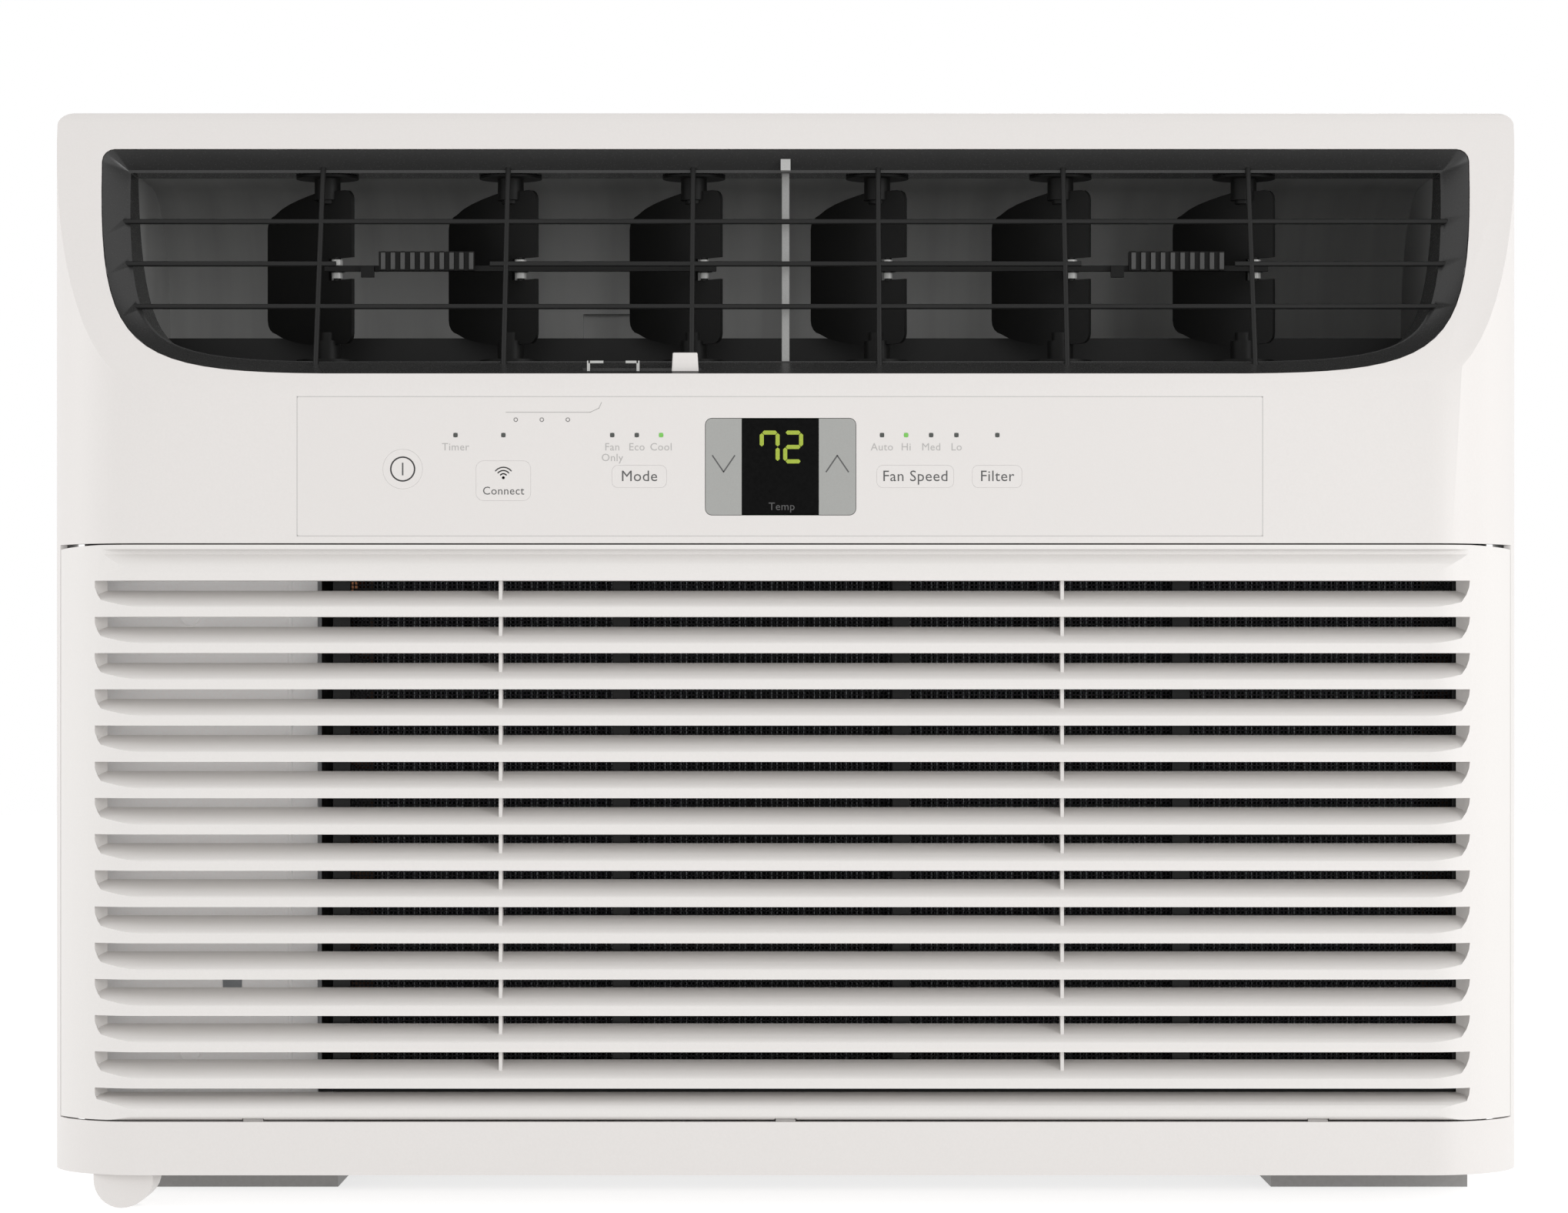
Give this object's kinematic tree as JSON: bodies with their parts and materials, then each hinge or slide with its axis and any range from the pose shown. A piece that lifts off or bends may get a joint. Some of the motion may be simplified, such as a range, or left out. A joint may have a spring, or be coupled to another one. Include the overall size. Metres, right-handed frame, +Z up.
{
  "type": "window air conditioner",
  "caption": "Slide-out window air conditioner with tilting intake grille, swivelling discharge vanes, push keys and a twin-fan motor.",
  "frame": {"origin": "centre of the footprint, at the underside of the two floor rails", "axes": "+X viewer's right facing the unit, -Y towards the room (front), +Z up"},
  "size_m": [0.6, 0.565, 0.448],
  "materials": {
    "panel_plastic": "satin moulded",
    "grille_plastic": "satin moulded",
    "overlay_film": "fine matt film",
    "dark_plastic": "semi-gloss",
    "bezel_plastic": "semi-gloss",
    "duct_foam": "matt",
    "key_grey": "satin",
    "display_gloss": "gloss",
    "circuit_board": "matt",
    "housing_foam": "matt",
    "cabinet_paint": "satin",
    "galvanised": "dull zinc",
    "motor_paint": "satin",
    "black_paint": "gloss",
    "fin_stock": "mill",
    "copper": "copper-coloured, mill",
    "shaft_steel": "ground",
    "rubber": "matt",
    "fan_plastic": "satin",
    "filter_net": "fine net"
  },
  "bodies": {
    "cabinet": {"cabinet_shell": "cabinet_paint", "cabinet_floor": "cabinet_paint", "rear_guard": "cabinet_paint", "cabinet_screws": "shaft_steel", "drain_nipple": "rubber"},
    "chassis": {"base_pan": "galvanised", "front_panel": "panel_plastic", "centre_post": "panel_plastic", "louver_bezel": "bezel_plastic", "louver_grid": "dark_plastic", "control_overlay": "overlay_film", "display_window": "display_gloss", "indicator_lights": "dark_plastic", "control_board": "circuit_board", "discharge_duct": "duct_foam", "blower_housing": "housing_foam", "inlet_ring": "duct_foam", "evaporator_fins": "fin_stock", "evaporator_tubes": "copper", "drip_tray": "housing_foam", "control_box": "galvanised", "control_box_cover": "panel_plastic", "run_capacitor": "fin_stock", "bulkhead": "galvanised", "fan_motor": "motor_paint", "motor_mount": "galvanised", "compressor": "black_paint", "compressor_mounts": "rubber", "suction_line": "copper", "discharge_line": "copper", "capillary_line": "copper", "filter_drier": "copper", "condenser_fins": "fin_stock", "condenser_tubes": "copper", "condenser_shroud": "motor_paint", "cord_outlet": "panel_plastic"},
    "grille": {"intake_grille": "grille_plastic", "filter_frame": "dark_plastic", "filter_mesh": "filter_net", "grille_hinge_pins": "shaft_steel"},
    "fan": {"fan_shaft": "shaft_steel", "blower_wheel": "fan_plastic", "condenser_fan": "fan_plastic"},
    "vane_left_1": {"vane_left_1": "dark_plastic"},
    "vane_left_2": {"vane_left_2": "dark_plastic"},
    "vane_left_3": {"vane_left_3": "dark_plastic"},
    "vane_right_1": {"vane_right_1": "dark_plastic"},
    "vane_right_2": {"vane_right_2": "dark_plastic"},
    "vane_right_3": {"vane_right_3": "dark_plastic"},
    "vane_link_left": {"vane_link_left": "dark_plastic"},
    "vane_link_right": {"vane_link_right": "dark_plastic"},
    "key_power": {"key_power": "overlay_film"},
    "key_connect": {"key_connect": "overlay_film"},
    "key_mode": {"key_mode": "overlay_film"},
    "key_fan": {"key_fan": "overlay_film"},
    "key_filter": {"key_filter": "overlay_film"},
    "key_temp_down": {"key_temp_down": "key_grey"},
    "key_temp_up": {"key_temp_up": "key_grey"},
    "vent_lever": {"vent_lever": "grille_plastic"},
    "vent_door": {"vent_door": "duct_foam"}
  },
  "joints": [
    {"name": "chassis_slide", "type": "slide", "parent": "cabinet", "child": "chassis", "axis": [0, -1, 0], "range_m": [0, 0.4]},
    {"name": "grille_hinge", "type": "hinge", "parent": "chassis", "child": "grille", "pos_m": [0, -0.2795, 0.0391], "axis": [1, 0, 0], "range_deg": [0, 35]},
    {"name": "fan_spin", "type": "hinge", "parent": "chassis", "child": "fan", "pos_m": [0.05, -0.1, 0.185], "axis": [0, 1, 0], "continuous": true},
    {"name": "vane_left_1_hinge", "type": "hinge", "parent": "chassis", "child": "vane_left_1", "pos_m": [-0.19075, -0.2199, 0.385], "axis": [0, 0, 1], "range_deg": [-96, 0]},
    {"name": "vane_left_2_hinge", "type": "hinge", "parent": "chassis", "child": "vane_left_2", "pos_m": [-0.11445, -0.2199, 0.385], "axis": [0, 0, 1], "range_deg": [-96, 0]},
    {"name": "vane_left_3_hinge", "type": "hinge", "parent": "chassis", "child": "vane_left_3", "pos_m": [-0.03815, -0.2199, 0.385], "axis": [0, 0, 1], "range_deg": [-96, 0]},
    {"name": "link_left_pivot", "type": "hinge", "parent": "vane_left_1", "child": "vane_link_left", "pos_m": [-0.18629, -0.22391, 0.3845], "axis": [0, 0, 1], "range_deg": [0, 96]},
    {"name": "vane_right_1_hinge", "type": "hinge", "parent": "chassis", "child": "vane_right_1", "pos_m": [0.03815, -0.2199, 0.385], "axis": [0, 0, 1], "range_deg": [-96, 0]},
    {"name": "vane_right_2_hinge", "type": "hinge", "parent": "chassis", "child": "vane_right_2", "pos_m": [0.11445, -0.2199, 0.385], "axis": [0, 0, 1], "range_deg": [-96, 0]},
    {"name": "vane_right_3_hinge", "type": "hinge", "parent": "chassis", "child": "vane_right_3", "pos_m": [0.19075, -0.2199, 0.385], "axis": [0, 0, 1], "range_deg": [-96, 0]},
    {"name": "link_right_pivot", "type": "hinge", "parent": "vane_right_1", "child": "vane_link_right", "pos_m": [0.04261, -0.22391, 0.3845], "axis": [0, 0, 1], "range_deg": [0, 96]},
    {"name": "key_power_press", "type": "slide", "parent": "chassis", "child": "key_power", "axis": [0, 1, 0], "range_m": [0, 0.0004], "stiffness_N_per_m": 3000},
    {"name": "key_connect_press", "type": "slide", "parent": "chassis", "child": "key_connect", "axis": [0, 1, 0], "range_m": [0, 0.0004], "stiffness_N_per_m": 3000},
    {"name": "key_mode_press", "type": "slide", "parent": "chassis", "child": "key_mode", "axis": [0, 1, 0], "range_m": [0, 0.0004], "stiffness_N_per_m": 3000},
    {"name": "key_fan_press", "type": "slide", "parent": "chassis", "child": "key_fan", "axis": [0, 1, 0], "range_m": [0, 0.0004], "stiffness_N_per_m": 3000},
    {"name": "key_filter_press", "type": "slide", "parent": "chassis", "child": "key_filter", "axis": [0, 1, 0], "range_m": [0, 0.0004], "stiffness_N_per_m": 3000},
    {"name": "key_temp_down_press", "type": "slide", "parent": "chassis", "child": "key_temp_down", "axis": [0, 1, 0], "range_m": [0, 0.0006], "stiffness_N_per_m": 3000},
    {"name": "key_temp_up_press", "type": "slide", "parent": "chassis", "child": "key_temp_up", "axis": [0, 1, 0], "range_m": [0, 0.0006], "stiffness_N_per_m": 3000},
    {"name": "vent_lever_slide", "type": "slide", "parent": "chassis", "child": "vent_lever", "axis": [1, 0, 0], "range_m": [-0.035, 0]},
    {"name": "vent_door_hinge", "type": "hinge", "parent": "chassis", "child": "vent_door", "pos_m": [-0.065, -0.0781, 0.4], "axis": [1, 0, 0], "range_deg": [0, 45]}
  ],
  "couplings": [
    {"joint": "vane_left_2_hinge", "follows": "vane_left_1_hinge", "ratio": 1},
    {"joint": "vane_left_3_hinge", "follows": "vane_left_1_hinge", "ratio": 1},
    {"joint": "link_left_pivot", "follows": "vane_left_1_hinge", "ratio": -1},
    {"joint": "vane_right_2_hinge", "follows": "vane_right_1_hinge", "ratio": 1},
    {"joint": "vane_right_3_hinge", "follows": "vane_right_1_hinge", "ratio": 1},
    {"joint": "link_right_pivot", "follows": "vane_right_1_hinge", "ratio": -1},
    {"joint": "vent_door_hinge", "follows": "vent_lever_slide", "rad_per_m": -22.4}
  ]
}
